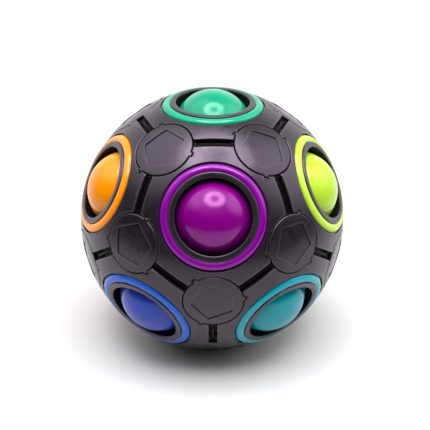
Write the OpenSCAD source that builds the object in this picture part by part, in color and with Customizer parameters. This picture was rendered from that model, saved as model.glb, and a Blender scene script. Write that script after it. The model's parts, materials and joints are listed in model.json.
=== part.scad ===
// Push-ball sphere puzzle: twelve shell panels, each with a coloured ring round a hole, joined by
// twenty corner caps. Eleven balls sit in the holes and one hole is empty. Any ball next to the
// empty hole can be pressed in, rolled over the core and let out through it.

/* [Shell] */
// Diameter of the sphere that the panels make
shell_d = 70; // [56:0.5:90]
// Wall of a shell panel
panel_wall = 3.2; // [2.8:0.1:4.2]

/* [Seams between panels] */
// Width of the open seam between two panels
seam_w = 2.1; // [1.4:0.1:3]
// Depth of the open seam, down to the flanges
seam_depth = 1.9; // [1:0.1:2.3]
// Width of the rib that two flanges make in the middle of a seam
rib_w = 0.7; // [0.4:0.1:1.1]
// Depth of the top of the rib below the panels
rib_drop = 0.8; // [0.3:0.1:0.9]
// Gap between two panels that meet
joint_gap = 0.1; // [0.05:0.05:0.3]

/* [Balls] */
// Lap of a hole's edge over its ball, at each side
seat_lap = 0.8; // [0.5:0.05:1.1]
// Gap between a ball at its stop and the edge of its hole
seat_gap = 0.15; // [0.1:0.05:0.4]
// Gap between the travelling ball and the inside of the shell
path_gap = 0.3; // [0.2:0.05:0.6]
// Gap between the travelling ball and the two balls that it passes between
pass_gap = 2.8; // [1.5:0.1:5]
// Gap between the travelling ball and the core
core_gap = 0.4; // [0.2:0.05:0.8]

/* [Lip round a hole] */
// Width of the flat black lip, at each side of the hole
lip_w = 1.55; // [1.1:0.05:2]
// Chamfer on the two edges of the lip
lip_chamfer = 0.25; // [0.1:0.05:0.4]

/* [Coloured rings] */
// Width of the part of a ring that shows
ring_w = 1.95; // [1.4:0.05:2.5]
// Width of the dark groove outside a ring
groove_gap = 0.4; // [0.2:0.05:0.8]
// Depth of a ring's groove below the lip
groove_depth = 2.1; // [1.6:0.1:2.4]
// Height of a ring's wide foot
foot_h = 0.4; // [0.3:0.05:0.6]
// Radius of a ring's rounded crown
crown_r = 1.4; // [1.3:0.1:2.5]
// Height of the crown above the panels
ring_proud = 0.25; // [0:0.05:0.3]
// Gap between a ring and the walls of its groove
ring_gap = 0.05; // [0.03:0.01:0.15]

/* [Corner caps] */
// Width of the land between a cap's recess and the groove round the nearest ring
land_w = 1.2; // [0.8:0.05:2.5]
// Gap round a cap's disc
cap_gap = 0.25; // [0.15:0.05:0.5]
// Thickness of the disc at its edge
rim_t = 0.8; // [0.6:0.05:1]
// Distance from the points of the pentagon mark to the disc's edge
mark_edge = 1.75; // [1:0.05:3]
// Depth of the pentagon mark
mark_depth = 0.3; // [0.1:0.05:0.5]
// Width of the three small keys on a disc's edge
key_w = 0.9; // [0.6:0.1:1.4]
// Length of a key past the disc's edge
key_l = 0.5; // [0.4:0.05:0.8]
// Angle of each key from its seam
key_angle = 24; // [18:1:40]
// Diameter of a cap's stem
stem_d = 4; // [3:0.1:5]
// Diameter of the snap head at the end of the stem
snap_d = 5.4; // [5.2:0.1:6.5]
// Height of the snap head
snap_h = 0.8; // [0.5:0.1:1]
// Diameter of the washer inside the shell
washer_d = 8; // [7:0.1:9]
// Thickness of the washer
washer_t = 1; // [0.6:0.1:1.2]
// Gap between a stem and the panels round it
stem_gap = 0.1; // [0.05:0.05:0.3]
// Gap between pieces that are clamped together
clamp_gap = 0.02; // [0.01:0.01:0.05]

/* [Hidden] */
$fn = 180;

// Each hole is named after its ring. The one without a ball is "grey".
HOLES = ["teal", "purple", "lime", "yellow", "red", "orange",
         "cyan", "green", "grey", "pink", "blue", "white"];
RING_COLOURS = ["#1fb592", "#9a2aa8", "#bfe63a", "#f2d01e", "#d9202a", "#ff9a1e",
                "#0fa3b8", "#2f9e41", "#8f9196", "#f27fb2", "#2f62c8", "#f2f0ea"];
EMPTY = 8;
TRAVELLER = 11;
BALLS = [for (i = [0:len(HOLES) - 1]) if (i != EMPTY) i];
CAPS = [for (i = [0:19]) str("corner_cap_", i < 9 ? "0" : "", i + 1)];

BLACK = "#3a3539";
BLACK_INNER = "#2b282b";

// Angles between the five-fold, two-fold and three-fold axes of an icosahedron.
golden = (1 + sqrt(5)) / 2;
hole_to_hole = atan(2);
hole_to_edge = atan(1 / golden);
hole_to_corner = atan(2 / pow(golden, 2));
corner_to_corner = acos(sqrt(5) / 3);
fifth = 360 / 5;

shell_r = shell_d / 2;
inner_r = shell_r - panel_wall;
reach = shell_d;

// Distance of a ball of radius r from the centre when it touches the edge of its hole.
function seated(r) = sqrt(pow(inner_r, 2) - pow(r - seat_lap, 2))
    - sqrt(pow(r + seat_gap, 2) - pow(r - seat_lap, 2));
// Distance of the same ball from the centre when it travels under the shell.
function sunk(r) = inner_r - path_gap - r;
// Room that it has left halfway, between the two balls that stay in their holes.
function pass_room(r) = sqrt(pow(seated(r), 2) + pow(sunk(r), 2)
    - 2 * seated(r) * sunk(r) * cos(90 - hole_to_edge)) - 2 * r;
// The largest ball that keeps pass_gap, found by halving the range from low to high.
function largest_ball(low, high, steps) = let (middle = (low + high) / 2)
    steps == 0 ? middle :
    pass_room(middle) > pass_gap ? largest_ball(middle, high, steps - 1)
                                 : largest_ball(low, middle, steps - 1);

ball_r = largest_ball(2, shell_r / 2, 40);
hole_r = ball_r - seat_lap;
seat_dist = seated(ball_r);
sunk_dist = sunk(ball_r);
core_r = sunk_dist - ball_r - core_gap;

// The lip is flat, and level with the panels at the middle of its width.
lip_r = hole_r + lip_w;
lip_top = sqrt(pow(shell_r, 2) - pow(hole_r + lip_w / 2, 2));
centre_z = lip_top;

ring_inner_r = lip_r + ring_gap;
ring_outer_r = lip_r + ring_w + 2 * ring_gap;
groove_r = ring_outer_r + groove_gap;
groove_floor = lip_top - groove_depth;
crown_angle = asin((ring_inner_r + ring_outer_r) / 2 / shell_r);
crown_dist = shell_r + ring_proud - crown_r;

// The land fills what the groove and the recess leave of the arc from a hole's axis to a corner's.
land_angle = land_w / shell_r * 180 / PI;
recess_r = shell_r * sin(hole_to_corner - asin(groove_r / shell_r) - land_angle);
cap_r = recess_r - cap_gap;
cap_bottom = sqrt(pow(shell_r, 2) - pow(cap_r, 2)) - rim_t;
recess_floor = cap_bottom - clamp_gap;
mark_r = cap_r - mark_edge;
washer_top = sqrt(pow(inner_r, 2) - pow(washer_d / 2, 2)) - clamp_gap;
snap_top = washer_top - washer_t - clamp_gap;

// Turns that bring +Z onto the axis of each hole: the top one, two rings of five, the bottom one.
HOLE_TURNS = concat([[0, 0, -90]],
                    [for (k = [0:4]) [0, hole_to_hole, -90 + fifth * k]],
                    [for (k = [0:4]) [0, 180 - hole_to_hole, -54 + fifth * k]],
                    [[0, 180, -18]]);
HOLE_SPINS = concat([0], [for (k = [0:4]) 180], [for (k = [0:5]) 0]);

// The same for the corners, in four rings of five. +X then points along one of the three seams.
CORNER_TURNS = concat([for (k = [0:4]) [0, hole_to_corner, -54 + fifth * k]],
                      [for (k = [0:4]) [0, hole_to_corner + corner_to_corner, -54 + fifth * k]],
                      [for (k = [0:4]) [0, 180 - hole_to_corner - corner_to_corner, -90 + fifth * k]],
                      [for (k = [0:4]) [0, 180 - hole_to_corner, -90 + fifth * k]]);
CORNER_SPINS = [for (ring = [0:3]) for (k = [0:4]) ring % 2 * 180];
// Which of its three keys each cap was fitted by, which is what turns its mark.
CAP_STEPS = [0, 1, 2, 1, 2,  0, 2, 1, 0, 2,  2, 0, 1, 0, 1,  1, 2, 0, 2, 0];
mark_start = 36;

module at_hole(i) {
    translate([0, 0, centre_z]) rotate(HOLE_TURNS[i]) rotate([0, 0, HOLE_SPINS[i]]) children();
}

module at_corner(i) {
    translate([0, 0, centre_z]) rotate(CORNER_TURNS[i]) rotate([0, 0, CORNER_SPINS[i]]) children();
}

module at_panel_corner(k) {
    rotate([0, 0, fifth * (k + 0.5)]) rotate([0, hole_to_corner, 0]) children();
}

// Everything nearer to the neighbouring panel than the given distance from the plane between them.
module beyond_seam(distance) {
    rotate([0, hole_to_edge, 0]) translate([-distance, -reach, -reach]) cube(2 * reach);
}

// The part of a seam down to the given depth, between two distances from that plane.
module seam_trough(near, far, depth) {
    difference() {
        rotate([0, hole_to_edge, 0]) translate([-far, -reach / 2, 0]) cube([far - near, reach, reach]);
        sphere(shell_r - depth);
    }
}

// Profile of the hole, the lip and the ring's groove, as one revolved cut.
module hole_cut() {
    rotate_extrude() polygon([
        [0, 0],
        [hole_r, 0],
        [hole_r, lip_top - lip_chamfer],
        [hole_r + lip_chamfer, lip_top],
        [lip_r - lip_chamfer, lip_top],
        [lip_r, lip_top - lip_chamfer],
        [lip_r, groove_floor],
        [groove_r, groove_floor],
        [groove_r, reach],
        [0, reach],
    ]);
}

// The disc of a corner cap with its three keys, or the recess for it when it is grown.
module keyed_disc(radius, grow, height) {
    cylinder(r = radius, h = height);
    for (k = [0:2])
        rotate([0, 0, 120 * k - key_angle])
            translate([radius / 2, -key_w / 2 - grow, 0])
                cube([radius / 2 + key_l, key_w + 2 * grow, height]);
}

module corner_cut() {
    translate([0, 0, recess_floor]) keyed_disc(recess_r, cap_gap / 2, reach);
    cylinder(d = stem_d + 2 * stem_gap, h = reach);
}

module panel_blank() {
    difference() {
        sphere(shell_r);
        sphere(inner_r);
        for (k = [0:4]) rotate([0, 0, fifth * k]) beyond_seam(joint_gap / 2);
    }
    translate([0, 0, groove_floor - clamp_gap])
        cylinder(r = (ring_inner_r + ring_outer_r) / 2, h = groove_depth + 2 * clamp_gap);
}

module panel(i) {
    color(BLACK) at_hole(i) difference() {
        panel_blank();
        hole_cut();
        for (k = [0:4]) rotate([0, 0, fifth * k]) {
            seam_trough(-seam_w, seam_w / 2, rib_drop);
            seam_trough(rib_w / 2, seam_w / 2, seam_depth);
        }
        for (k = [0:4]) at_panel_corner(k) corner_cut();
    }
}

// A ring has a wide foot in its groove and a crown that follows the curve of the shell.
module ring(i) {
    foot_z = groove_floor + clamp_gap;
    crown_x = crown_dist * sin(crown_angle);
    crown_z = crown_dist * cos(crown_angle);
    color(RING_COLOURS[i]) at_hole(i) rotate_extrude() {
        translate([ring_inner_r, foot_z]) square([groove_r - ring_gap - ring_inner_r, foot_h]);
        translate([ring_inner_r, foot_z]) square([ring_outer_r - ring_inner_r, crown_z - foot_z]);
        intersection() {
            translate([ring_inner_r, foot_z]) square([ring_outer_r - ring_inner_r, reach]);
            translate([crown_x, crown_z]) circle(crown_r);
        }
    }
}

module corner_cap(i) {
    color(BLACK) at_corner(i) {
        difference() {
            intersection() {
                translate([0, 0, cap_bottom]) keyed_disc(cap_r, 0, reach);
                sphere(shell_r);
            }
            difference() {
                rotate([0, 0, mark_start + 120 * CAP_STEPS[i]]) cylinder(r = mark_r, h = reach, $fn = 5);
                sphere(shell_r - mark_depth);
            }
        }
        translate([0, 0, snap_top - snap_h / 2]) cylinder(d = stem_d, h = cap_bottom - snap_top + snap_h);
        translate([0, 0, snap_top - snap_h]) cylinder(d = snap_d, h = snap_h);
    }
}

module cap_washers() {
    color(BLACK_INNER) for (i = [0:19]) at_corner(i)
        translate([0, 0, washer_top - washer_t]) difference() {
            cylinder(d = washer_d, h = washer_t);
            translate([0, 0, -washer_t]) cylinder(d = stem_d + 2 * stem_gap, h = 3 * washer_t);
        }
}

module ball(i) {
    distance = i == TRAVELLER ? sunk_dist : seat_dist;
    color(RING_COLOURS[i]) at_hole(i) translate([0, 0, distance]) sphere(ball_r);
}

module core_ball() {
    color(BLACK_INNER) translate([0, 0, centre_z]) sphere(core_r);
}

for (i = [0:11]) panel(i);
for (i = [0:11]) ring(i);
for (i = [0:19]) corner_cap(i);
cap_washers();
for (i = BALLS) ball(i);
core_ball();
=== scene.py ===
"""Looks of the push-ball sphere puzzle: a black shell of twelve panels with coloured rings and balls.

Every piece is a grid of points worked out with numpy in millimetres, in a frame of its own whose +Z is
the axis of its hole or corner. The grid is then turned onto that axis and moved to the sphere's middle.
"""
import json
import logging
import math
from dataclasses import dataclass, field, replace
from enum import Enum

import bpy
import numpy as np
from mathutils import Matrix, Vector


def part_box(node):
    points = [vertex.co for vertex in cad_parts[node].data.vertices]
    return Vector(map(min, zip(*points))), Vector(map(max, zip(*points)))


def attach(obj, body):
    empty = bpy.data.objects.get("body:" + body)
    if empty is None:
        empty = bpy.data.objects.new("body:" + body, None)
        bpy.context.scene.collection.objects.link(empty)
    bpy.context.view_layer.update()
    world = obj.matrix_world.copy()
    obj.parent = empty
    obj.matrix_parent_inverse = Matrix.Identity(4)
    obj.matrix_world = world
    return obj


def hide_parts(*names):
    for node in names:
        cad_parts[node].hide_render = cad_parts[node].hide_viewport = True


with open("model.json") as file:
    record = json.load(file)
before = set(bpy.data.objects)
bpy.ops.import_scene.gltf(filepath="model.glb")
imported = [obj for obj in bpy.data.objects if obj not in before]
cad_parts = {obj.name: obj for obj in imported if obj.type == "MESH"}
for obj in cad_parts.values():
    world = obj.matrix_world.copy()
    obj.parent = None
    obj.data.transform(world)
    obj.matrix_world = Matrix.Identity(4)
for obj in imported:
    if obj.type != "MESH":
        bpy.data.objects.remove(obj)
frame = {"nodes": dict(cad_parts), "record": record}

MM = 0.001
FULL_TURN = 2 * math.pi
QUARTER_TURN = math.pi / 2
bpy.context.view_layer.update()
LOG = logging.getLogger("sphere_puzzle")

Grid = np.ndarray
Tree = bpy.types.NodeTree
Socket = bpy.types.NodeSocket

# Turn in degrees at which an outward edge begins to be rubbed, and how much more makes it wholly so.
RUB_FROM, RUB_OVER = 8, 12
# Turn from which an edge between two faces stays sharp.
CREASE = math.radians(40)
# How near a sphere a point lies on it, in millimetres.
ON_SPHERE = 0.003
# Depths below the shell's outside, in millimetres, and how sunk a point at each of them is, which sets how
# much painted shade it gets.
SUNK_DEPTHS, SUNK_SHARES = (0.08, 0.40, 0.80, 1.90), (0.0, 0.65, 0.90, 1.0)
# Sockets of a Mix node for colours, whose names aren't unique: its factor, its two colours, its result.
FACTOR, FIRST, SECOND, MIXED = 0, 6, 7, 2


# ---- Layout of an icosahedron's axes ----

GOLDEN = (1 + math.sqrt(5)) / 2
HOLE_TO_HOLE = math.atan(2)
HOLE_TO_EDGE = math.atan(1 / GOLDEN)
HOLE_TO_CORNER = math.atan(2 / GOLDEN**2)
CORNER_TO_CORNER = math.acos(math.sqrt(5) / 3)
FIFTH = FULL_TURN / 5
THIRD = FULL_TURN / 3


class Hue(Enum):
    """The twelve holes from top to bottom, each with the colours of its ring and of its ball."""

    TEAL = ("#008e6c", "#008968")
    PURPLE = ("#71037f", "#730171")
    LIME = ("#acd038", "#a7cc30")
    YELLOW = ("#debe18", "#ddb806")
    RED = ("#c31d26", "#bb121d")
    ORANGE = ("#ec8606", "#e68602")
    CYAN = ("#008e9e", "#008490")
    GREEN = ("#278e37", "#1c842b")
    GREY = ("#808286", "#808286")
    PINK = ("#dc72a2", "#d86498")
    BLUE = ("#1852b4", "#1f389c")
    WHITE = ("#dbd8d3", "#d8d7d2")

    @property
    def label(self) -> str:
        """The colour's name as the frame's nodes spell it."""
        return self.name.lower()


def turn_z(angle: float) -> np.ndarray:
    """Rotation about Z by an angle in radians."""
    c, s = math.cos(angle), math.sin(angle)
    return np.array([[c, -s, 0.0], [s, c, 0.0], [0.0, 0.0, 1.0]])


def turn_y(angle: float) -> np.ndarray:
    """Rotation about Y by an angle in radians."""
    c, s = math.cos(angle), math.sin(angle)
    return np.array([[c, 0.0, s], [0.0, 1.0, 0.0], [-s, 0.0, c]])


def onto_axis(polar: float, azimuth: float, spin: float = 0.0) -> np.ndarray:
    """Rotation that takes +Z to the axis at the given polar angle and azimuth, after a spin about it.

    Args:
        polar: angle from +Z in radians.
        azimuth: angle round Z from +X in radians.
        spin: first turn about the piece's own axis, in radians.

    Returns:
        The 3 by 3 rotation.
    """
    return turn_z(azimuth) @ turn_y(polar) @ turn_z(spin)


def hole_turns() -> list[np.ndarray]:
    """Rotations onto the twelve holes: the top one, two rings of five and the bottom one.

    Returns:
        The rotations, in the order of Hue.
    """
    turns = [onto_axis(0.0, -QUARTER_TURN)]
    turns += [onto_axis(HOLE_TO_HOLE, -QUARTER_TURN + FIFTH * k, math.pi) for k in range(5)]
    turns += [onto_axis(math.pi - HOLE_TO_HOLE, FIFTH / 2 - QUARTER_TURN + FIFTH * k) for k in range(5)]
    turns.append(onto_axis(math.pi, FIFTH - QUARTER_TURN))
    return turns


def corner_turns() -> list[np.ndarray]:
    """Rotations onto the twenty corners, in four rings of five, with +X along a seam.

    Returns:
        The rotations, from the top ring to the bottom one.
    """
    lower, start = HOLE_TO_CORNER + CORNER_TO_CORNER, FIFTH / 2 - QUARTER_TURN
    rings = [(HOLE_TO_CORNER, start, 0.0), (lower, start, math.pi),
             (math.pi - lower, -QUARTER_TURN, 0.0), (math.pi - HOLE_TO_CORNER, -QUARTER_TURN, math.pi)]
    return [onto_axis(polar, azimuth + FIFTH * k, spin) for polar, azimuth, spin in rings for k in range(5)]


# ---- Sizes ----


def middle_of(node: str) -> np.ndarray:
    """Middle of a node's box in millimetres."""
    low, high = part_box(node)
    return np.array((low + high) / 2) / MM


def half_height(node: str) -> float:
    """Half the height of a node's box in millimetres, which is a ball's radius."""
    low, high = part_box(node)
    return (high.z - low.z) / 2 / MM


@dataclass(frozen=True)
class Sizes:
    """Lengths in millimetres and one angle in radians, under the CAD model's names.

    The sphere's middle and the radii of the core and the balls are read from the frame.
    """

    shell_r: float = 35.0
    panel_wall: float = 3.2
    seam_w: float = 2.1
    seam_depth: float = 1.9
    rib_w: float = 0.7
    rib_drop: float = 0.8
    joint_gap: float = 0.1
    seat_lap: float = 0.8
    lip_w: float = 1.55
    ring_w: float = 1.95
    ring_gap: float = 0.05
    groove_gap: float = 0.4
    groove_depth: float = 2.1
    foot_h: float = 0.4
    crown_r: float = 1.4
    ring_proud: float = 0.25
    land_w: float = 1.2
    cap_gap: float = 0.25
    rim_t: float = 0.8
    mark_edge: float = 1.75
    mark_depth: float = 0.3
    key_w: float = 0.9
    key_l: float = 0.5
    key_angle: float = math.radians(24)
    stem_d: float = 4.0
    snap_d: float = 5.4
    snap_h: float = 0.8
    washer_d: float = 8.0
    washer_t: float = 1.0
    stem_gap: float = 0.1
    clamp_gap: float = 0.02
    centre: np.ndarray = field(default_factory=lambda: middle_of("core_ball"))
    core_r: float = field(default_factory=lambda: half_height("core_ball"))
    ball_r: float = field(default_factory=lambda: half_height("ball_teal"))

    @property
    def inner_r(self) -> float:
        """Radius of the inside of the shell."""
        return self.shell_r - self.panel_wall

    @property
    def hole_r(self) -> float:
        """Radius of a hole."""
        return self.ball_r - self.seat_lap

    @property
    def lip_r(self) -> float:
        """Outer radius of the flat lip round a hole."""
        return self.hole_r + self.lip_w

    @property
    def lip_top(self) -> float:
        """Height of the lip, which is level with the sphere at the middle of its width."""
        return math.sqrt(self.shell_r**2 - (self.hole_r + self.lip_w / 2) ** 2)

    @property
    def ring_inner_r(self) -> float:
        """Inner radius of a coloured ring."""
        return self.lip_r + self.ring_gap

    @property
    def ring_outer_r(self) -> float:
        """Outer radius of the part of a coloured ring that shows."""
        return self.lip_r + self.ring_w + 2 * self.ring_gap

    @property
    def groove_r(self) -> float:
        """Outer radius of the groove that a ring sits in."""
        return self.ring_outer_r + self.groove_gap

    @property
    def groove_floor(self) -> float:
        """Height of the floor of that groove."""
        return self.lip_top - self.groove_depth

    @property
    def recess_r(self) -> float:
        """Radius of the recess for a corner cap: what the groove and the land leave of the arc."""
        land = self.land_w / self.shell_r
        return self.shell_r * math.sin(HOLE_TO_CORNER - math.asin(self.groove_r / self.shell_r) - land)

    @property
    def cap_r(self) -> float:
        """Radius of a corner cap's disc."""
        return self.recess_r - self.cap_gap

    @property
    def cap_bottom(self) -> float:
        """Height of the underside of the disc."""
        return math.sqrt(self.shell_r**2 - self.cap_r**2) - self.rim_t

    @property
    def recess_floor(self) -> float:
        """Height of the ledge that the disc sits on."""
        return self.cap_bottom - self.clamp_gap

    @property
    def mark_r(self) -> float:
        """Radius of the pentagon mark at its points."""
        return self.cap_r - self.mark_edge

    @property
    def washer_top(self) -> float:
        """Height of the outer face of a washer, under the inside of the shell."""
        return math.sqrt(self.inner_r**2 - (self.washer_d / 2) ** 2) - self.clamp_gap

    @property
    def snap_top(self) -> float:
        """Height of the upper face of a snap head, under its washer."""
        return self.washer_top - self.washer_t - self.clamp_gap


# ---- Grids and meshes ----


def rounded(corners: list[tuple[float, float, float]], steps: int = 4) -> np.ndarray:
    """Rounds the corners of an open outline.

    Each corner is replaced by points on a quadratic curve from one leg to the other, with the corner as
    its control point. The curve starts and ends at the corner's own distance along the two legs.

    Args:
        corners: (x, y, distance) of each corner. The first and last only give directions and are left out.
        steps: number of spans in each rounding.

    Returns:
        The rounded outline, one point a row.
    """
    points = np.array([c[:2] for c in corners], float)
    t = np.linspace(0.0, 1.0, steps + 1)[:, None]
    parts = []
    for before, corner, after, distance in zip(points, points[1:], points[2:], [c[2] for c in corners[1:]]):
        start = corner + (before - corner) * (distance / np.linalg.norm(before - corner))
        end = corner + (after - corner) * (distance / np.linalg.norm(after - corner))
        parts.append((1 - t) ** 2 * start + 2 * t * (1 - t) * corner + t**2 * end)
    return np.concatenate(parts)


def lathe(profile: np.ndarray, angles: np.ndarray) -> Grid:
    """Turns a profile of (radius, height) rows round Z: x = r cos a, y = r sin a, z = height."""
    radius, height = profile[:, :1], profile[:, 1:]
    return np.stack([radius * np.cos(angles), radius * np.sin(angles), height + 0 * angles], axis=-1)


def smooth(share: np.ndarray) -> np.ndarray:
    """Smooth step: 3 x^2 - 2 x^3 of a share x from 0 to 1."""
    return share * share * (3 - 2 * share)


def edge_weights(profile: np.ndarray) -> np.ndarray:
    """How much of an outward edge each point of a closed profile is on.

    The weight rises from 0 to 1 with the angle that the profile turns through at the point, and is 0 where
    it turns inwards or runs straight.

    Args:
        profile: the points across a piece, in one plane, one (x, y) a row.

    Returns:
        A weight from 0 to 1 for each point.
    """
    before, after = profile - np.roll(profile, 1, axis=0), np.roll(profile, -1, axis=0) - profile
    across = before[:, 0] * after[:, 1] - before[:, 1] * after[:, 0]
    turn = np.arctan2(across, (before * after).sum(axis=1))
    x, y = profile.T
    area = (x * np.roll(y, -1) - y * np.roll(x, -1)).sum()
    return np.clip((np.degrees(turn) * np.sign(area) - RUB_FROM) / RUB_OVER, 0, 1)


def grid_faces(rows: int, columns: int, closed: bool) -> np.ndarray:
    """Quads of a grid whose columns go all the way round.

    Args:
        rows: number of rows.
        columns: number of columns; the last one joins the first.
        closed: whether the last row joins the first one too.

    Returns:
        Four vertex numbers a row.
    """
    row = np.arange(rows if closed else rows - 1)[:, None]
    column = np.arange(columns)[None, :]
    beside, above = (column + 1) % columns, (row + 1) % rows
    quads = [row * columns + column, row * columns + beside,
             above * columns + beside, above * columns + column]
    return np.stack(np.broadcast_arrays(*quads), axis=-1).reshape(-1, 4)


@dataclass
class Shape:
    """Vertices in millimetres with the quads and triangles that join them.

    For each vertex, rubbed says how much it is on an outward edge and sunk how deep it lies in a gap or a
    groove, both from 0 to 1; the finishes paint shade where it is sunk. A normal of zero is left to Blender.
    """

    points: np.ndarray
    quads: np.ndarray
    triangles: np.ndarray
    rubbed: np.ndarray
    sunk: np.ndarray = field(default_factory=lambda: np.zeros(0))
    normals: np.ndarray = field(default_factory=lambda: np.zeros((0, 3)))

    def __post_init__(self) -> None:
        """Fills in what was left out."""
        if len(self.sunk) == 0:
            self.sunk = np.zeros(len(self.points))
        if len(self.normals) == 0:
            self.normals = np.zeros((len(self.points), 3))

    @classmethod
    def closed_band(cls, grid: Grid) -> "Shape":
        """A ring-shaped skin: both the rows and the columns of the grid close on themselves.

        Args:
            grid: the points.

        Returns:
            The shape, facing outwards.
        """
        rows, columns = grid.shape[:2]
        rubbed = np.repeat(edge_weights(grid[:, 0, [0, 2]]), columns)
        no_triangles = np.zeros((0, 3), int)
        return cls(grid.reshape(-1, 3), grid_faces(rows, columns, True), no_triangles, rubbed).facing_out()

    @classmethod
    def with_poles(cls, grid: Grid) -> "Shape":
        """A closed skin whose first and last rows are each fanned to a point at the row's middle.

        Args:
            grid: the points, whose columns go all the way round.

        Returns:
            The shape, facing outwards.
        """
        rows, columns = grid.shape[:2]
        poles = np.stack([grid[0].mean(0), grid[-1].mean(0)])
        column = np.arange(columns)
        beside, last = (column + 1) % columns, (rows - 1) * columns
        first_fan = np.stack([np.full(columns, rows * columns), beside, column], axis=-1)
        last_fan = np.stack([np.full(columns, rows * columns + 1), last + column, last + beside], axis=-1)
        points = np.concatenate([grid.reshape(-1, 3), poles])
        weights = edge_weights(grid[:, 0, [0, 2]])
        weights[[0, -1]] = 0.0
        rubbed = np.append(np.repeat(weights, columns), [0.0, 0.0])
        fans = np.concatenate([first_fan, last_fan])
        return cls(points, grid_faces(rows, columns, False), fans, rubbed).facing_out()

    def facing_out(self) -> "Shape":
        """Turns the faces outwards: the signed volume, a sum of a . (b x c) over triangles, is positive.

        Returns:
            The shape itself, or a copy with every face reversed.
        """
        split = np.concatenate([self.quads[:, [0, 1, 2]], self.quads[:, [0, 2, 3]], self.triangles])
        a, b, c = (self.points[split[:, i]] for i in range(3))
        if np.einsum("ij,ij->i", a, np.cross(b, c)).sum() < 0:
            return replace(self, quads=self.quads[:, ::-1], triangles=self.triangles[:, ::-1])
        return self

    def in_shell(self, radius: float, spheres: tuple[float, ...] = ()) -> "Shape":
        """The same shape with its depth below the shell's outside and its exact normals.

        A point's depth is the outside's radius less its distance from the middle. How sunk it is, which sets
        the painted shade of its finish, rises fast over the rounding of an edge and slowly from there to a
        seam's floor, and a sunk edge isn't rubbed.
        A point on one of the spheres is on an open face, so it isn't sunk. It gets that sphere's normal, its
        own direction, so that the grid doesn't show in the reflections.

        Args:
            radius: radius of the shell's outside.
            spheres: radii of the spheres round the middle that the piece has smooth faces on.

        Returns:
            The new shape.
        """
        level = np.linalg.norm(self.points, axis=1)
        # No point lies on the sphere of radius 0, which is there so that the list is never empty.
        near = np.abs(level[:, None] - np.array([*spheres, 0.0])).min(axis=1) < ON_SPHERE
        sunk = np.where(near, 0.0, np.interp(radius - level, SUNK_DEPTHS, SUNK_SHARES))
        normals = np.where(near[:, None], self.points / level[:, None], 0.0)
        return replace(self, rubbed=self.rubbed * (1 - sunk), sunk=sunk, normals=normals)

    def placed(self, turn: np.ndarray, centre: np.ndarray) -> "Shape":
        """The shape turned onto its axis and moved to its middle."""
        return replace(self, points=self.points @ turn.T + centre, normals=self.normals @ turn.T)

    def joined(self, others: list["Shape"]) -> "Shape":
        """This shape and others as one, each still a closed skin of its own.

        Args:
            others: the shapes to add.

        Returns:
            The joined shape.
        """
        shapes = [self, *others]
        starts = np.cumsum([0] + [len(s.points) for s in shapes[:-1]])
        return Shape(np.concatenate([s.points for s in shapes]),
                     np.concatenate([s.quads + n for s, n in zip(shapes, starts)]),
                     np.concatenate([s.triangles + n for s, n in zip(shapes, starts)]),
                     np.concatenate([s.rubbed for s in shapes]),
                     np.concatenate([s.sunk for s in shapes]),
                     np.concatenate([s.normals for s in shapes]))

    def to_object(self, name: str, material: bpy.types.Material) -> bpy.types.Object:
        """Puts the shape into a new object at the origin, smooth but for its sharp edges.

        Args:
            name: the object's name.
            material: its only material.

        Returns:
            The linked object.
        """
        mesh = bpy.data.meshes.new(name)
        corners = np.concatenate([self.quads.ravel(), self.triangles.ravel()])
        totals = np.concatenate([np.full(len(self.quads), 4), np.full(len(self.triangles), 3)])
        mesh.vertices.add(len(self.points))
        mesh.vertices.foreach_set("co", (self.points * MM).astype(np.float32).ravel())
        mesh.loops.add(len(corners))
        mesh.loops.foreach_set("vertex_index", corners.astype(np.int32))
        mesh.polygons.add(len(totals))
        starts = np.concatenate([[0], np.cumsum(totals)[:-1]])
        mesh.polygons.foreach_set("loop_start", starts.astype(np.int32))
        mesh.update(calc_edges=True)
        for label, values in (("rubbed", self.rubbed), ("sunk", self.sunk)):
            mesh.attributes.new(label, "FLOAT", "POINT").data.foreach_set("value", values.astype(np.float32))
        mesh.shade_smooth()
        mesh.set_sharp_from_angle(angle=CREASE)
        if self.normals.any():
            mesh.normals_split_custom_set_from_vertices(self.normals)
        mesh.materials.append(material)
        made = bpy.data.objects.new(name, mesh)
        bpy.context.scene.collection.objects.link(made)
        return made


# ---- Finishes ----


def linear(code: str) -> tuple[float, float, float, float]:
    """An sRGB hex colour such as "#3a3539" as linear red, green, blue and alpha."""
    values = [int(code[i:i + 2], 16) / 255 for i in (1, 3, 5)]
    return (*[v / 12.92 if v <= 0.04045 else ((v + 0.055) / 1.055) ** 2.4 for v in values], 1.0)


def shade(colour: tuple[float, ...], factor: float) -> tuple[float, float, float, float]:
    """A colour with its red, green and blue times a factor, held to 1."""
    return (*[min(1.0, value * factor) for value in colour[:3]], 1.0)


def add_node(tree: Tree, kind: str, inputs: dict | None = None, **settings) -> bpy.types.Node:
    """Adds a node with its settings and links.

    Args:
        tree: the node tree that it goes into.
        kind: the node's type name.
        inputs: for each input, by name or number, its value or the output socket that feeds it.
        settings: the node's own settings by name.

    Returns:
        The new node.
    """
    node = tree.nodes.new(kind)
    for name, value in settings.items():
        setattr(node, name, value)
    for name, value in (inputs or {}).items():
        if isinstance(value, Socket):
            tree.links.new(value, node.inputs[name])
        else:
            node.inputs[name].default_value = value
    return node


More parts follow.
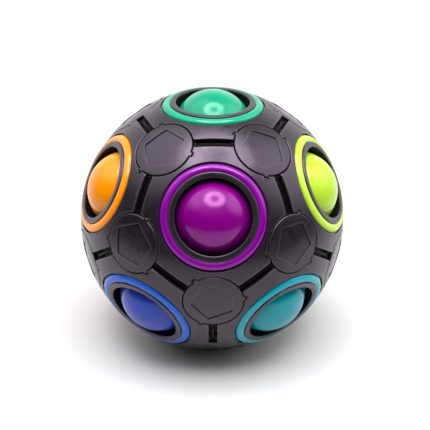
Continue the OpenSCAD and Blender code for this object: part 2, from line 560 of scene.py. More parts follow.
@dataclass(frozen=True)
class MouldedAbs:
    """Injection-moulded ABS: an even, slightly warm plastic with a soft gloss.

    Its colour drifts a little over several millimetres, and its edges are rubbed pale. Its gloss is broken by
    handling smears and hair scratches. Its surface has the shallow waves of a thin wall that shrank as it
    cooled, and the fine grain of a blasted mould. Deep in a gap it carries painted shade: its colour is
    darkened and its reflections are weakened, for the little light that gets in there. Its
    reflections take on a share of its own colour, which is the glint.
    """

    name: str
    colour: str
    drift: float = 0.10
    drift_mm: float = 9.0
    drift_span: tuple[float, float] = (0.35, 0.65)
    roughness: float = 0.36
    smear: float = 0.10
    smear_mm: float = 5.0
    smear_span: tuple[float, float] = (0.3, 0.7)
    # The real grain is about 0.05 mm, which is too fine to show, so it is drawn six times as coarse.
    grain_mm: float = 0.30
    grain_height_mm: float = 0.004
    wave_mm: float = 2.4
    wave_height_mm: float = 0.014
    scratch: float = 0.04
    scratch_mm: float = 0.6
    scratch_depth_mm: float = 0.001
    # The value of the noise along a scratch's middle, and how far it has changed at the scratch's edge.
    scratch_level: float = 0.63
    scratch_edge: float = 0.012
    scratch_slant: tuple[float, float, float] = (0.5, 0.9, 0.4)
    scratch_squeeze: float = 0.03
    rubbed: str = "#6f686e"
    # How strongly an edge is rubbed where the noise of the smears is low and where it is high.
    rub_low: float = 0.2
    rub_high: float = 0.15
    rub_span: tuple[float, float] = (0.3, 0.6)
    # Share of its colour that is left, as painted shade, deep in a gap.
    pocket: float = 0.25
    ior: float = 1.54
    # Strength of the reflections on an open face, and deep in a gap, where they are weakened as painted
    # shade.
    open_specular: float = 0.5
    sunk_specular: float = 0.1
    glint: float = 0.5
    seed: float = 0.0

    def build(self) -> bpy.types.Material:
        """Makes the material's nodes.

        Returns:
            The material.
        """
        material = bpy.data.materials.new(self.name)
        material.use_nodes = True
        tree = material.node_tree
        shader = tree.nodes["Principled BSDF"]
        where = add_node(tree, "ShaderNodeTexCoord").outputs["Object"]
        place = add_node(tree, "ShaderNodeMapping",
                         {"Vector": where, "Location": (self.seed, 0.0, 0.0)}).outputs["Vector"]
        drift, smear, grain, wave = (
            add_node(tree, "ShaderNodeTexNoise", {"Vector": place, "Scale": 1 / (size * MM), "Detail": detail,
                                                  "Distortion": distortion}).outputs["Fac"]
            for size, detail, distortion in ((self.drift_mm, 3.0, 0.0), (self.smear_mm, 5.0, 1.2),
                                             (self.grain_mm, 2.0, 0.0), (self.wave_mm, 1.0, 0.0)))
        scratches = self._scratches(tree, place)
        rubbed, sunk = (add_node(tree, "ShaderNodeAttribute", attribute_name=label).outputs["Fac"]
                        for label in ("rubbed", "sunk"))
        self._colour(tree, shader, drift, smear, rubbed, sunk)
        self._gloss(tree, shader, smear, scratches, sunk)
        below = {}
        for height, height_mm, invert in ((grain, self.grain_height_mm, False),
                                          (wave, self.wave_height_mm, False),
                                          (scratches, self.scratch_depth_mm, True)):
            bump = add_node(tree, "ShaderNodeBump", {"Height": height, "Strength": 1.0,
                                                     "Distance": height_mm * MM, **below}, invert=invert)
            below = {"Normal": bump.outputs["Normal"]}
        tree.links.new(below["Normal"], shader.inputs["Normal"])
        return material

    def _colour(self, tree: Tree, shader: bpy.types.Node, drift: Socket, smear: Socket, rubbed: Socket,
                sunk: Socket) -> None:
        """Feeds the base colour: it drifts, its rubbed edges are paler and its depths get painted shade,
        darker the deeper they lie.

        Args:
            tree: the material's node tree.
            shader: the shader that it feeds.
            drift: noise that the colour drifts by.
            smear: noise that breaks up the rubbed edges.
            rubbed: how much a point is on an outward edge.
            sunk: how deep it lies in a gap, which sets how much painted shade it gets.
        """
        colour = linear(self.colour)
        share = add_node(tree, "ShaderNodeMapRange",
                         {"Value": drift, "From Min": self.drift_span[0], "From Max": self.drift_span[1]},
                         interpolation_type="SMOOTHSTEP").outputs["Result"]
        base = add_node(tree, "ShaderNodeMix", {FACTOR: share, FIRST: shade(colour, 1 - self.drift),
                                                SECOND: shade(colour, 1 + self.drift)}, data_type="RGBA")
        most = add_node(tree, "ShaderNodeMapRange",
                        {"Value": smear, "From Min": self.rub_span[0], "From Max": self.rub_span[1],
                         "To Min": self.rub_low, "To Max": self.rub_high},
                        interpolation_type="SMOOTHSTEP").outputs["Result"]
        rub = add_node(tree, "ShaderNodeMath", {0: rubbed, 1: most}, operation="MULTIPLY").outputs[0]
        worn = add_node(tree, "ShaderNodeMix", {FACTOR: rub, FIRST: base.outputs[MIXED],
                                                SECOND: linear(self.rubbed)}, data_type="RGBA")
        # Painted shade: deep in a gap the colour is darkened towards a fraction of itself.
        shaded = add_node(tree, "ShaderNodeMix", {FACTOR: sunk, FIRST: worn.outputs[MIXED],
                                                  SECOND: shade(colour, self.pocket)}, data_type="RGBA")
        tree.links.new(shaded.outputs[MIXED], shader.inputs["Base Color"])

    def _gloss(self, tree: Tree, shader: bpy.types.Node, smear: Socket, scratches: Socket,
               sunk: Socket) -> None:
        """Feeds the roughness and the strength of the reflections, whose weakening in gaps is painted shade,
        and tints them.

        The tint is white drawn by the glint towards the colour at its full brightness.

        Args:
            tree: the material's node tree.
            shader: the shader that it feeds.
            smear: noise that the roughness follows.
            scratches: 1 in a scratch, where the surface is duller.
            sunk: how deep a point lies in a gap, which weakens its reflections as painted shade.
        """
        gloss = add_node(tree, "ShaderNodeMapRange",
                         {"Value": smear, "From Min": self.smear_span[0], "From Max": self.smear_span[1],
                          "To Min": self.roughness - self.smear / 2,
                          "To Max": self.roughness + self.smear / 2},
                         interpolation_type="SMOOTHSTEP").outputs["Result"]
        dulled = add_node(tree, "ShaderNodeMath", {0: scratches, 1: self.scratch, 2: gloss},
                          operation="MULTIPLY_ADD").outputs[0]
        # Painted shade in the reflections: they are weaker the deeper a point lies in a gap.
        level = add_node(tree, "ShaderNodeMapRange",
                         {"Value": sunk, "To Min": self.open_specular, "To Max": self.sunk_specular},
                         interpolation_type="SMOOTHSTEP").outputs["Result"]
        colour = linear(self.colour)[:3]
        tint = [1 - self.glint * (1 - value / max(colour)) for value in colour]
        tree.links.new(dulled, shader.inputs["Roughness"])
        tree.links.new(level, shader.inputs["Specular IOR Level"])
        shader.inputs["IOR"].default_value = self.ior
        shader.inputs["Specular Tint"].default_value = (*tint, 1.0)

    def _scratches(self, tree: Tree, place: Socket) -> Socket:
        """Hair scratches: thin slices through noise that is stretched along one slanted line.

        Args:
            tree: the material's node tree.
            place: the position that the noise is read at.

        Returns:
            1 along the middle of a scratch and 0 outside it.
        """
        squeeze = (1.0, self.scratch_squeeze, self.scratch_squeeze)
        slant = add_node(tree, "ShaderNodeMapping", {"Vector": place, "Rotation": self.scratch_slant,
                                                     "Scale": squeeze}).outputs["Vector"]
        noise = add_node(tree, "ShaderNodeTexNoise", {"Vector": slant, "Scale": 1 / (self.scratch_mm * MM),
                                                      "Detail": 1.0, "Distortion": 0.0}).outputs["Fac"]
        middle = add_node(tree, "ShaderNodeMath", {0: noise, 1: self.scratch_level}, operation="SUBTRACT")
        distance = add_node(tree, "ShaderNodeMath", {0: middle.outputs[0]}, operation="ABSOLUTE").outputs[0]
        return add_node(tree, "ShaderNodeMapRange",
                        {"Value": distance, "From Max": self.scratch_edge, "To Min": 1.0, "To Max": 0.0},
                        interpolation_type="SMOOTHSTEP").outputs["Result"]


# ---- Pieces ----


def body_holding(node: str) -> str:
    """The frame's body that a node belongs to."""
    bodies = frame["record"]["behaviour"]["bodies"]
    return next(body for body, nodes in bodies.items() if node in nodes)


def hand_over(piece: bpy.types.Object, node: str) -> None:
    """Lets a piece stand for a node of the frame.

    Args:
        piece: the finished piece.
        node: the node that it replaces, whose body it rides on.
    """
    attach(piece, body_holding(node))
    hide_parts(node)
    LOG.info("%s stands for %s: %d faces", piece.name, node, len(piece.data.polygons))


@dataclass
class ShellPanels:
    """The twelve black panels. All are the same grid, turned onto each hole's axis.

    A column of the grid starts inside the hole, climbs over the lip and down through the ring's groove,
    crosses the face, rounds the edge, goes down the wall of a seam or of a corner's recess, out over the
    flange or the ledge to the joint with the next panel, and back along the inside of the shell.
    """

    sizes: Sizes
    edge_round: float = 0.28
    groove_round: float = 0.12
    lip_round: float = 0.32
    inner_round: float = 0.3
    rib_draft: float = 0.02
    rib_chamfer: float = 0.1
    seam_columns: int = 17
    face_rows: int = 8
    edge_rows: int = 5
    skin_rows: int = 6
    # Shares of the way from a recess's wall to the joint at which the rows of _flange cross the ledge.
    ledge_shares: tuple[float, ...] = (0.0, 0.66, 0.7, 0.8, 1.0)
    # Columns at which a recess's wall starts, meets its key's notch, leaves it, and ends.
    recess_knots: tuple[int, ...] = (0, 6, 8, 14, 16, 56)
    # Columns at which the joint reaches the stem's hole and leaves it.
    stem_knots: tuple[int, int] = (22, 34)

    def build(self, finish: MouldedAbs) -> None:
        """Makes every panel.

        Args:
            finish: the panels' finish.
        """
        material = finish.build()
        s = self.sizes
        shape = Shape.closed_band(np.stack(self._rows())).in_shell(s.shell_r, (s.shell_r,))
        for hue, turn in zip(Hue, hole_turns()):
            piece = shape.placed(turn, s.centre).to_object(f"shell_panel_{hue.label}", material)
            hand_over(piece, f"panel_{hue.label}")

    def _recess(self, grow: float) -> tuple[np.ndarray, np.ndarray]:
        """The wall of a corner's recess, with the notch for one of the cap's keys.

        Args:
            grow: how much wider than the wall the circle is.

        Returns:
            Angles and radii round the corner, from one seam to the next.
        """
        s = self.sizes
        radius, key_radius = s.recess_r + grow, s.recess_r + s.key_l + grow
        half_key = (s.key_w + s.cap_gap) / 2 + grow
        seam = math.asin((s.seam_w / 2 + grow) / radius)
        key = 2 * THIRD - s.key_angle
        near, far = math.asin(half_key / radius), math.asin(half_key / key_radius)
        columns = np.arange(self.recess_knots[-1] + 1)
        angles = [2 * THIRD - seam, key + near, key + far, key - far, key - near, THIRD + seam]
        radii = [radius, radius, key_radius, key_radius, radius, radius]
        return np.interp(columns, self.recess_knots, angles), np.interp(columns, self.recess_knots, radii)

    def _joint(self) -> tuple[np.ndarray, np.ndarray]:
        """The joint at a corner: along one seam, round the stem, along the next.

        Returns:
            Angles and radii round the corner, from one seam to the next.
        """
        s = self.sizes
        last = self.recess_knots[-1]
        stem_r = s.stem_d / 2 + s.stem_gap
        columns = np.arange(last + 1)
        radius = np.interp(columns, [0, *self.stem_knots, last], [s.recess_r, stem_r, stem_r, s.recess_r])
        gap = np.arcsin(s.joint_gap / 2 / radius)
        share = np.clip((columns - self.stem_knots[0]) / (self.stem_knots[1] - self.stem_knots[0]), 0, 1)
        return (1 - share) * (2 * THIRD - gap) + share * (THIRD + gap), radius

    def _row(self, distance: float, seam_level: float, corner: tuple[np.ndarray, np.ndarray],
             grow: float, ledge: float | None = None) -> np.ndarray:
        """One closed row of points round a panel.

        Args:
            distance: distance of its straight stretches from the plane between two panels.
            seam_level: distance of those stretches from the sphere's middle.
            corner: angles and radii of its stretches round the corners.
            grow: how much wider than a recess the circle is that the straight stretches end at.
            ledge: height along a corner's axis of the stretches round it, or None where they lie on the
                sphere of seam_level.

        Returns:
            The points, from the start of the first seam.
        """
        s = self.sizes
        reach = s.recess_r + grow
        half_edge = CORNER_TO_CORNER / 2
        along = math.sqrt(reach**2 - distance**2)
        end = math.sqrt(seam_level**2 - reach**2) * math.sin(half_edge) - along * math.cos(half_edge)
        y = np.linspace(-end, end, self.seam_columns + 2)[1:-1]
        seam = np.stack([0 * y - distance, y, np.sqrt(seam_level**2 - distance**2 - y**2)], axis=-1)
        angle, radius = corner
        height = np.sqrt(seam_level**2 - radius**2) if ledge is None else ledge + 0 * radius
        bend = np.stack([radius * np.cos(angle), radius * np.sin(angle), height], axis=-1)
        return np.concatenate([part for k in range(5) for part in (
            seam @ onto_axis(HOLE_TO_EDGE, FIFTH * k).T,
            bend @ onto_axis(HOLE_TO_CORNER, FIFTH * (k + 0.5)).T)])

    def _rows(self) -> list[np.ndarray]:
        """All the rows, from the inner end of the hole over the outside and back along the inside.

        Returns:
            The closed rows, one for each step across the panel.
        """
        s = self.sizes
        half_seam, joint = s.seam_w / 2, s.joint_gap / 2
        wall, edge = self._recess(0.0), self.edge_round
        outline = self._row(half_seam, s.shell_r, wall, 0.0)
        angles = self._angles(outline)

        def slope(radius: float, level: float) -> tuple[float, float]:
            """Radius and height of a point on the sphere of radius level."""
            return radius, math.sqrt(level**2 - radius**2)

        # The first and the last point only give the directions of the shell's inside and outside.
        hole = rounded([(*slope(s.hole_r + 2, s.inner_r), 0),
                        (*slope(s.hole_r, s.inner_r), self.inner_round),
                        (s.hole_r, s.lip_top, self.lip_round),
                        (s.lip_r, s.lip_top, self.lip_round),
                        (s.lip_r, s.groove_floor, self.groove_round),
                        (s.groove_r, s.groove_floor, self.groove_round),
                        (*slope(s.groove_r, s.shell_r), self.groove_round),
                        (*slope(s.groove_r + 1, s.shell_r), 0)])
        rows = list(lathe(hole, angles))
        brow = self._row(half_seam + edge, s.shell_r, self._recess(edge), edge)
        shares = np.arange(1, self.face_rows) / self.face_rows
        rows += [self._on_sphere(rows[-1] * (1 - t) + brow * t, s.shell_r) for t in shares]
        for turn in np.linspace(0.0, QUARTER_TURN, self.edge_rows):
            inset, depth = edge * (1 - math.sin(turn)), edge * (1 - math.cos(turn))
            rows.append(self._row(half_seam + inset, s.shell_r - depth, self._recess(inset), inset))
        rows += self._flange(wall)
        joint_inside = self._row(joint, s.inner_r, self._joint(), 0.0)
        rows.append(joint_inside)
        shares = np.arange(1, self.skin_rows) / self.skin_rows
        rows += [self._on_sphere(joint_inside * (1 - t) + rows[0] * t, s.inner_r) for t in shares]
        return rows

    def _flange(self, wall: tuple[np.ndarray, np.ndarray]) -> list[np.ndarray]:
        """Rows over a seam's flange and its rib, which at the corners cross the ledge under a cap.

        Args:
            wall: angles and radii of the recess's wall.

        Returns:
            The rows, from the seam's wall to the joint.
        """
        s = self.sizes
        angles, radii = self._joint()
        floor, rib_top, rib = s.shell_r - s.seam_depth, s.shell_r - s.rib_drop, s.rib_w / 2
        steps = [(s.seam_w / 2, floor), (rib + self.rib_draft, floor), (rib, rib_top - self.rib_chamfer),
                 (rib - self.rib_chamfer, rib_top), (s.joint_gap / 2, rib_top)]
        ledge = [(wall[0] + (angles - wall[0]) * t, wall[1] + (radii - wall[1]) * t)
                 for t in self.ledge_shares]
        return [self._row(distance, level, corner, 0.0, s.recess_floor)
                for (distance, level), corner in zip(steps, ledge)]

    def _angles(self, outline: np.ndarray) -> np.ndarray:
        """Angles round the hole, shared out as the lengths along the outline are.

        Args:
            outline: a closed row of points round the panel.

        Returns:
            An angle for each point, 0 at the middle of the first seam.
        """
        spans = np.linalg.norm(np.roll(outline, -1, axis=0) - outline, axis=1)
        along = np.concatenate([[0.0], np.cumsum(spans)[:-1]])
        middle = along[(self.seam_columns - 1) // 2]
        return (along - middle) / spans.sum() * FULL_TURN

    @staticmethod
    def _on_sphere(points: np.ndarray, radius: float) -> np.ndarray:
        """Points moved along their own directions to a distance from the middle."""
        return points * (radius / np.linalg.norm(points, axis=-1, keepdims=True))


@dataclass
class ColouredRings:
    """The twelve coloured rings: a wide foot in the groove, straight sides and a rounded crown."""

    sizes: Sizes
    columns: int = 200
    crown_steps: int = 22
    corner_round: float = 0.12
    foot_round: float = 0.1
    step_round: float = 0.05
    # How much lower the crown is than the CAD model's, so that no ring reaches past its box.
    crown_drop: float = 0.004

    def build(self, finishes: dict[Hue, MouldedAbs]) -> None:
        """Makes every ring.

        Args:
            finishes: the finish of each hole's ring.
        """
        angles = np.arange(self.columns) * FULL_TURN / self.columns
        shape = Shape.closed_band(lathe(self._profile(), angles)).in_shell(self.sizes.shell_r)
        for hue, turn in zip(Hue, hole_turns()):
            material = finishes[hue].build()
            piece = shape.placed(turn, self.sizes.centre).to_object(f"rim_ring_{hue.label}", material)
            hand_over(piece, f"ring_{hue.label}")

    def _profile(self) -> np.ndarray:
        """The profile: up the inner side, over the crown's arc, down the outer side and round the foot.

        Returns:
            The closed profile, a radius and a height in each row.
        """
        s = self.sizes
        foot, foot_top = s.groove_floor + s.clamp_gap, s.groove_floor + s.clamp_gap + s.foot_h
        tilt = math.asin((s.ring_inner_r + s.ring_outer_r) / 2 / s.shell_r)
        distance = s.shell_r + s.ring_proud - s.crown_r - self.crown_drop
        x, z = distance * math.sin(tilt), distance * math.cos(tilt)
        start = math.acos((s.ring_inner_r + self.corner_round - x) / s.crown_r)
        end = math.acos(min(1.0, (s.ring_outer_r - x) / s.crown_r))
        turn = np.linspace(start, end, self.crown_steps)
        crown = np.stack([x + s.crown_r * np.cos(turn), z + s.crown_r * np.sin(turn)], axis=-1)
        inner_top = crown[0, 1]
        foot_r = s.groove_r - s.ring_gap
        inner = rounded([(s.ring_inner_r + 1, foot, 0), (s.ring_inner_r, foot, self.foot_round),
                         (s.ring_inner_r, inner_top, self.corner_round), (*crown[0], 0)])
        outer = rounded([(s.ring_outer_r, z, 0), (s.ring_outer_r, foot_top, self.step_round),
                         (foot_r, foot_top, self.foot_round), (foot_r, foot, self.foot_round),
                         (s.ring_inner_r + 1, foot, 0)])
        return np.concatenate([inner, crown[1:], outer])


@dataclass
class CornerCaps:
    """The twenty corner caps: a disc with a sunk pentagon and three keys, a stem and a snap head."""

    sizes: Sizes
    columns: int = 360
    rim_round: float = 0.22
    rim_rows: int = 6
    under_round: float = 0.1
    mark_round: float = 0.07
    point_round: float = 0.14
    key_rise: float = 0.2
    tip_r: float = 0.3
    # Roundings of the stem: under the disc, and at the start, the edge and the tip of the snap head.
    stem_rounds: tuple[float, float, float, float] = (0.3, 0.1, 0.15, 0.35)
    mark_start: float = math.radians(36)
    # Shares of the way from the middle of the mark to its wall at which its floor has a row.
    floor_shares: tuple[float, ...] = (0.04, 0.2, 0.4, 0.6, 0.8, 0.95)
    # Which of its three keys each cap was fitted by, which is what turns its mark.
    steps: tuple[int, ...] = (0, 1, 2, 1, 2, 0, 2, 1, 0, 2, 2, 0, 1, 0, 1, 1, 2, 0, 2, 0)

    def build(self, finish: MouldedAbs) -> None:
        """Makes every cap.

        Args:
            finish: the caps' finish.
        """
        material = finish.build()
        outside, floor = self.sizes.shell_r, self.sizes.shell_r - self.sizes.mark_depth
        grids = [self._rows(self.mark_start + THIRD * step) for step in range(3)]
        shapes = [Shape.with_poles(grid).in_shell(outside, (outside, floor)) for grid in grids]
        for number, (turn, step) in enumerate(zip(corner_turns(), self.steps), start=1):
            piece = shapes[step].placed(turn, self.sizes.centre).to_object(f"cap_disc_{number:02d}", material)
            hand_over(piece, f"corner_cap_{number:02d}")

    def _rows(self, start: float) -> np.ndarray:
        """Rows from the middle of the mark out over the disc, round its rim and down the stem to its tip.

        Args:
            start: the angle of the mark's first point.

        Returns:
            The grid, open at both ends.
        """
        s = self.sizes
        angle = np.arange(self.columns) * FULL_TURN / self.columns
        mark, rim = self._pentagon(angle - start), self._rim(angle)
        floor, face, r = s.shell_r - s.mark_depth, s.shell_r, self.mark_round
        rows = [self._on_cap(angle, mark * t, floor) for t in self.floor_shares]
        # Up the mark's wall, rounded at its foot and at its top: how far inside the mark, and at what level.
        rows += [self._on_cap(angle, mark - inset, level) for inset, level in (
            (r, floor), (r * 0.4, floor + 0.02), (r * 0.1, floor + 0.06), (0.0, (floor + face) / 2),
            (-r * 0.1, face - 0.07), (-r * 0.5, face - 0.02), (-r * 1.5, face))]
        edge = rim - self.rim_round
        rows += [self._on_cap(angle, (mark + 1.5 * r) * (1 - t) + edge * t, face) for t in (0.25, 0.5, 0.75)]
        for turn in np.linspace(0.0, QUARTER_TURN, self.rim_rows):
            rows.append(self._on_cap(angle, edge + self.rim_round * math.sin(turn),
                                     face - self.rim_round * (1 - math.cos(turn))))
        rows += [self._flat(angle, rim, s.cap_bottom + self.under_round),
                 self._flat(angle, rim - self.under_round, s.cap_bottom)]
        tip = s.snap_top - s.snap_h
        corners = [(s.stem_d / 2, s.cap_bottom), (s.stem_d / 2, s.snap_top), (s.snap_d / 2, s.snap_top),
                   (s.snap_d / 2, tip)]
        stem = rounded([(s.cap_r, s.cap_bottom, 0), *[(*c, r) for c, r in zip(corners, self.stem_rounds)],
                        (0.0, tip, 0)])
        rows += [self._flat(angle, radius + 0 * angle, height) for radius, height in stem]
        rows.append(self._flat(angle, self.tip_r + 0 * angle, tip))
        return np.stack(rows)

    def _pentagon(self, angle: np.ndarray) -> np.ndarray:
        """Radius of a pentagon with a point at angle 0 and blunted points.

        It is the inradius over the cosine of the angle from the middle of the nearest side, but no more than
        the points' radius less point_round.

        Args:
            angle: angles from the pentagon's first point.

        Returns:
            The radius at each angle.
        """
        inradius = self.sizes.mark_r * math.cos(FIFTH / 2)
        from_side = np.mod(angle, FIFTH) - FIFTH / 2
        return np.minimum(inradius / np.cos(from_side), self.sizes.mark_r - self.point_round)

    def _rim(self, angle: np.ndarray) -> np.ndarray:
        """Radius of the disc with its three keys, whose sides are smooth steps as long as key_rise.

        Args:
            angle: angles round the cap.

        Returns:
            The radius at each angle.
        """
        s = self.sizes
        from_key = np.abs(np.mod(angle + s.key_angle + THIRD / 2, THIRD) - THIRD / 2) * s.cap_r
        rise = np.clip((s.key_w / 2 - from_key) / self.key_rise + 0.5, 0.0, 1.0)
        return s.cap_r + s.key_l * smooth(rise)

    @staticmethod
    def _on_cap(angle: np.ndarray, radius: np.ndarray, level: float) -> np.ndarray:
        """Points at a radius from the cap's axis and at a distance from the sphere's middle."""
        height = np.sqrt(level**2 - radius**2)
        return np.stack([radius * np.cos(angle), radius * np.sin(angle), height], axis=-1)

    @staticmethod
    def _flat(angle: np.ndarray, radius: np.ndarray, height: float) -> np.ndarray:
        """Points at a radius from the cap's axis and at one height along it."""
        return np.stack([radius * np.cos(angle), radius * np.sin(angle), height + 0 * angle], axis=-1)


@dataclass
class CapWashers:
    """The twenty washers behind the panels, one piece of twenty closed rings."""

    sizes: Sizes
    columns: int = 64
    edge_round: float = 0.12
    rim_round: float = 0.25

    def build(self, finish: MouldedAbs) -> None:
        """Makes the washers.

        Args:
            finish: the washers' finish.
        """
        s, edge = self.sizes, self.edge_round
        hole, rim = s.stem_d / 2 + s.stem_gap, s.washer_d / 2
        low, high = s.washer_top - s.washer_t, s.washer_top
        profile = rounded([(rim, low, 0), (hole, low, edge), (hole, high, edge), (rim, high, edge),
                           (rim, low, self.rim_round), (hole, low, 0)])
        angles = np.arange(self.columns) * FULL_TURN / self.columns
        washer = Shape.closed_band(lathe(profile, angles))
        placed = [washer.placed(turn, s.centre) for turn in corner_turns()]
        piece = placed[0].joined(placed[1:]).to_object("washer_set", finish.build())
        hand_over(piece, "cap_washers")


@dataclass
class MouldedBalls:
    """The eleven coloured balls and the core: spheres with a mould's witness line and a gate mark."""

    sizes: Sizes
    columns: int = 160
    line_h: float = 0.02
    line_w: float = 0.16
    gate_r: float = 0.75
    gate_depth: float = 0.03
    gate_slope: float = 0.2
    gate_rows: int = 12
    face_rows: int = 40
    line_rows: int = 13
    seed: int = 12

    def build(self, finishes: dict[Hue, MouldedAbs], core_finish: MouldedAbs) -> None:
        """Makes every ball, each turned at random, and the core.

        Args:
            finishes: the finish of each hole's ball.
            core_finish: the core's finish.
        """
        chance = np.random.default_rng(self.seed)
        shape = Shape.with_poles(self._rows(self.sizes.ball_r))
        for hue in Hue:
            node = f"ball_{hue.label}"
            turn = self._any_turn(chance)
            if node in frame["nodes"]:
                placed = shape.placed(turn, middle_of(node))
                hand_over(placed.to_object(f"push_{node}", finishes[hue].build()), node)
        core = Shape.with_poles(self._rows(self.sizes.core_r))
        core = core.placed(self._any_turn(chance), self.sizes.centre)
        hand_over(core.to_object("core_sphere", core_finish.build()), "core_ball")

    def _rows(self, radius: float) -> np.ndarray:
        """Rows from pole to pole, closest together at the gate mark and at the witness line.

        The radius grows by line_h in a smooth bump at the equator, and shrinks by gate_depth inside a small
        circle round the first pole. The bump's crest is at the full radius.

        Args:
            radius: the sphere's radius.

        Returns:
            The grid, open at both ends.
        """
        # Angles from the first pole, as multiples of the gate mark's radius and of the line's width.
        line, gate = self.line_w / radius, self.gate_r / radius
        near_pole = np.linspace(0.15, 1.6, self.gate_rows) * gate
        latitudes = np.linspace(1.9 * gate, QUARTER_TURN - 2 * line, self.face_rows)
        at_line = QUARTER_TURN + np.linspace(-1.5, 1.5, self.line_rows) * line
        last = [math.pi - 0.5 * gate]
        polar = np.concatenate([near_pole, latitudes, at_line, math.pi - latitudes[::-1], last])
        bump = np.clip(1 - np.abs(polar - QUARTER_TURN) / line, 0, 1)
        dip = np.clip((gate - polar) / (self.gate_slope * gate), 0, 1)
        r = radius - self.line_h + self.line_h * smooth(bump) - self.gate_depth * smooth(dip)
        angles = np.arange(self.columns) * FULL_TURN / self.columns
        return lathe(np.stack([r * np.sin(polar), r * np.cos(polar)], axis=-1), angles)

    @staticmethod
    def _any_turn(chance: np.random.Generator) -> np.ndarray:
        """A rotation onto an axis drawn evenly from the sphere."""
        polar, azimuth = math.acos(chance.uniform(-1, 1)), chance.uniform(0, FULL_TURN)
        return onto_axis(polar, azimuth, chance.uniform(0, FULL_TURN))


# ---- Studio ----


@dataclass(frozen=True)
class Lamp:
    """A soft round lamp far away, with every angle in degrees.

    Seen from the object, its light fades out over the outer pair of angles from its middle. With an inner
    pair it is a ring, with the share called middle of its light inside. It is stretched along X.
    """

    azimuth: float
    elevation: float
    light: float
    outer: tuple[float, float]
    inner: tuple[float, float] | None = None
    middle: float = 0.0
    stretch: float = 1.0

    def add_to(self, tree: Tree, toward: Socket, light: Socket) -> Socket:
        """Adds the lamp to the light that comes from each direction.

        Args:
            tree: the world's node tree.
            toward: the direction.
            light: what already comes from it.

        Returns:
            The sum.
        """
        azimuth, elevation = math.radians(self.azimuth), math.radians(self.elevation)
        flat = math.cos(elevation)
        axis = Vector((math.sin(azimuth) * flat / self.stretch, -math.cos(azimuth) * flat,
                       math.sin(elevation))).normalized()
        narrowed = add_node(tree, "ShaderNodeVectorMath", {0: toward, 1: (1 / self.stretch, 1.0, 1.0)},
                            operation="MULTIPLY").outputs[0]
        unit = add_node(tree, "ShaderNodeVectorMath", {0: narrowed}, operation="NORMALIZE").outputs[0]
        cosine = add_node(tree, "ShaderNodeVectorMath", {0: unit, 1: axis}, operation="DOT_PRODUCT")
        away = add_node(tree, "ShaderNodeMath", {0: cosine.outputs["Value"]}, operation="ARCCOSINE")
        fades = [(self.outer, 1.0, 0.0)] + ([(self.inner, self.middle, 1.0)] if self.inner else [])
        strength = self.light
        for (near, far), start, end in fades:
            fade = add_node(tree, "ShaderNodeMapRange",
                            {"Value": away.outputs[0], "From Min": math.radians(near),
                             "From Max": math.radians(far), "To Min": start, "To Max": end},
                            interpolation_type="SMOOTHSTEP").outputs["Result"]
            strength = add_node(tree, "ShaderNodeMath", {0: fade, 1: strength},
                                operation="MULTIPLY").outputs[0]
        return add_node(tree, "ShaderNodeMath", {0: strength, 1: light}, operation="ADD").outputs[0]


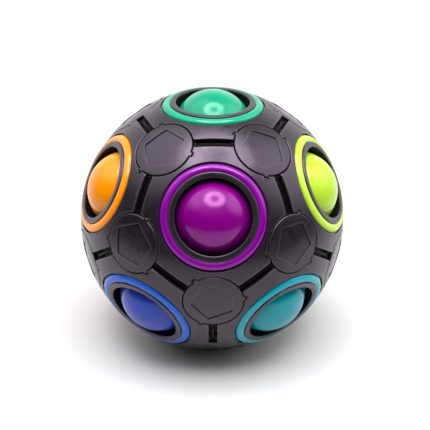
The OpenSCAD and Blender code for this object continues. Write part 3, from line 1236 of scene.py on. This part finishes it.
@dataclass
class Studio:
    """A pale table under soft white light, with the camera in front and a little above."""

    sizes: Sizes
    table_r: float = 300.0
    table_solid: float = 110.0
    table_gone: float = 260.0
    table_thick: float = 0.5
    table_colour: str = "#c0bfc0"
    table_roughness: float = 0.6
    table_rows: int = 12
    table_columns: int = 96
    sensor: float = 36.0
    lens: float = 107.44
    eye_distance: float = 343.95
    eye_azimuth: float = math.radians(-0.596)
    eye_elevation: float = math.radians(25.84)
    # Turns of the camera about X, Y and Z, in degrees.
    eye_turn: tuple[float, float, float] = (64.331, -0.317, -0.579)
    lamps: tuple[Lamp, ...] = (
        Lamp(azimuth=17, elevation=79, light=10.5, outer=(21, 26), inner=(6, 12), middle=0.15, stretch=1.1),
        Lamp(azimuth=-97, elevation=58, light=1.9, outer=(15, 40)),
        Lamp(azimuth=92, elevation=36, light=2.4, outer=(12, 36)),
    )
    # Light from the room behind the camera and from the wall behind the object, and the span of the
    # direction's Y over which the one turns into the other.
    room_light: float = 0.02
    back_light: float = 1.3
    back_span: tuple[float, float] = (-0.1, 0.6)
    # Light from above and from the table further out, and the spans of the direction's Z where they begin.
    ceiling_light: float = 0.5
    ceiling_span: tuple[float, float] = (0.35, 0.75)
    table_light: float = 0.9
    table_span: tuple[float, float] = (-0.30, -0.45)

    def build(self) -> None:
        """Makes the table, the light and the camera, and shows colours as they are."""
        self._table()
        self._world()
        self._camera()
        bpy.context.scene.view_settings.view_transform = "Standard"

    def _table(self) -> None:
        """A flat disc that melts into the white surroundings towards its rim."""
        radii = np.linspace(0.02, 1.0, self.table_rows) * self.table_r
        angles = np.arange(self.table_columns) * FULL_TURN / self.table_columns
        top = lathe(np.stack([radii, 0 * radii], axis=-1), angles)
        material = bpy.data.materials.new("matt_white_laminate")
        material.use_nodes = True
        tree = material.node_tree
        shader = tree.nodes["Principled BSDF"]
        shader.inputs["Base Color"].default_value = linear(self.table_colour)
        shader.inputs["Roughness"].default_value = self.table_roughness
        where = add_node(tree, "ShaderNodeTexCoord").outputs["Object"]
        length = add_node(tree, "ShaderNodeVectorMath", {0: where}, operation="LENGTH").outputs["Value"]
        fade = add_node(tree, "ShaderNodeMapRange", {"Value": length, "From Min": self.table_solid * MM,
                                                     "From Max": self.table_gone * MM},
                        interpolation_type="SMOOTHSTEP").outputs["Result"]
        clear = add_node(tree, "ShaderNodeBsdfTransparent")
        mix = add_node(tree, "ShaderNodeMixShader", {0: fade, 1: shader.outputs[0], 2: clear.outputs[0]})
        tree.links.new(mix.outputs[0], tree.nodes["Material Output"].inputs["Surface"])
        shape = Shape.with_poles(np.concatenate([top, top[::-1] - [0.0, 0.0, self.table_thick]]))
        piece = shape.to_object("table", material)

    def _world(self) -> None:
        """Soft surroundings: a dim room, a bright back wall, a ceiling, the table's glow and the lamps.

        The camera sees plain white instead.
        """
        world = bpy.data.worlds.new("soft_tent")
        bpy.context.scene.world = world
        world.use_nodes = True
        tree = world.node_tree
        tree.nodes.clear()
        toward = add_node(tree, "ShaderNodeTexCoord").outputs["Generated"]
        parts = add_node(tree, "ShaderNodeSeparateXYZ", {0: toward})
        height, depth = parts.outputs["Z"], parts.outputs["Y"]
        light = self.room_light
        for value, (near, far), brightness in ((depth, self.back_span, self.back_light),
                                               (height, self.ceiling_span, self.ceiling_light),
                                               (height, self.table_span, self.table_light)):
            share = add_node(tree, "ShaderNodeMapRange", {"Value": value, "From Min": near, "From Max": far},
                             interpolation_type="SMOOTHSTEP").outputs["Result"]
            light = add_node(tree, "ShaderNodeMix", {"Factor": share, "A": light, "B": brightness}).outputs[0]
        for lamp in self.lamps:
            light = lamp.add_to(tree, toward, light)
        white = (1.0, 1.0, 1.0, 1.0)
        studio = add_node(tree, "ShaderNodeBackground", {"Color": white, "Strength": light})
        plain = add_node(tree, "ShaderNodeBackground", {"Color": white, "Strength": 1.0})
        seen = add_node(tree, "ShaderNodeLightPath").outputs["Is Camera Ray"]
        mix = add_node(tree, "ShaderNodeMixShader", {0: seen, 1: studio.outputs[0], 2: plain.outputs[0]})
        add_node(tree, "ShaderNodeOutputWorld", {"Surface": mix.outputs[0]})

    def _camera(self) -> None:
        """The camera, a little above the object and in front of it, aimed just beside its middle."""
        data = bpy.data.cameras.new("camera")
        data.lens, data.sensor_width = self.lens, self.sensor
        camera = bpy.data.objects.new("camera", data)
        flat = math.cos(self.eye_elevation)
        toward = np.array([math.sin(self.eye_azimuth) * flat, -math.cos(self.eye_azimuth) * flat,
                           math.sin(self.eye_elevation)])
        camera.location = Vector((self.sizes.centre + self.eye_distance * toward) * MM)
        camera.rotation_euler = [math.radians(angle) for angle in self.eye_turn]
        bpy.context.scene.collection.objects.link(camera)
        bpy.context.scene.camera = camera


def main() -> None:
    logging.basicConfig(level=logging.INFO, format="%(name)s: %(message)s")
    sizes = Sizes()
    black = MouldedAbs("moulded_abs_satin_black", "#181419", roughness=0.28, glint=0.8)
    cap_black = MouldedAbs("moulded_abs_satin_black_cap", "#181419", roughness=0.28, glint=0.8, seed=0.3)
    hidden = MouldedAbs("moulded_abs_satin_black_inner", "#1a181b", rub_high=0.1, seed=0.6)
    rings, balls = {}, {}
    for number, hue in enumerate(Hue):
        ring_colour, ball_colour = hue.value
        rings[hue] = MouldedAbs(f"moulded_abs_gloss_ring_{hue.label}", ring_colour, rubbed=ring_colour,
                                drift=0.04, roughness=0.13, smear=0.04, glint=0.4, seed=1.0 + number)
        balls[hue] = MouldedAbs(f"moulded_abs_gloss_ball_{hue.label}", ball_colour, rubbed=ball_colour,
                                drift=0.06, roughness=0.17, smear=0.07, seed=20.0 + number)
    ShellPanels(sizes).build(black)
    ColouredRings(sizes).build(rings)
    CornerCaps(sizes).build(cap_black)
    CapWashers(sizes).build(hidden)
    MouldedBalls(sizes).build(balls, hidden)
    Studio(sizes).build()


if __name__ == "__main__":
    main()
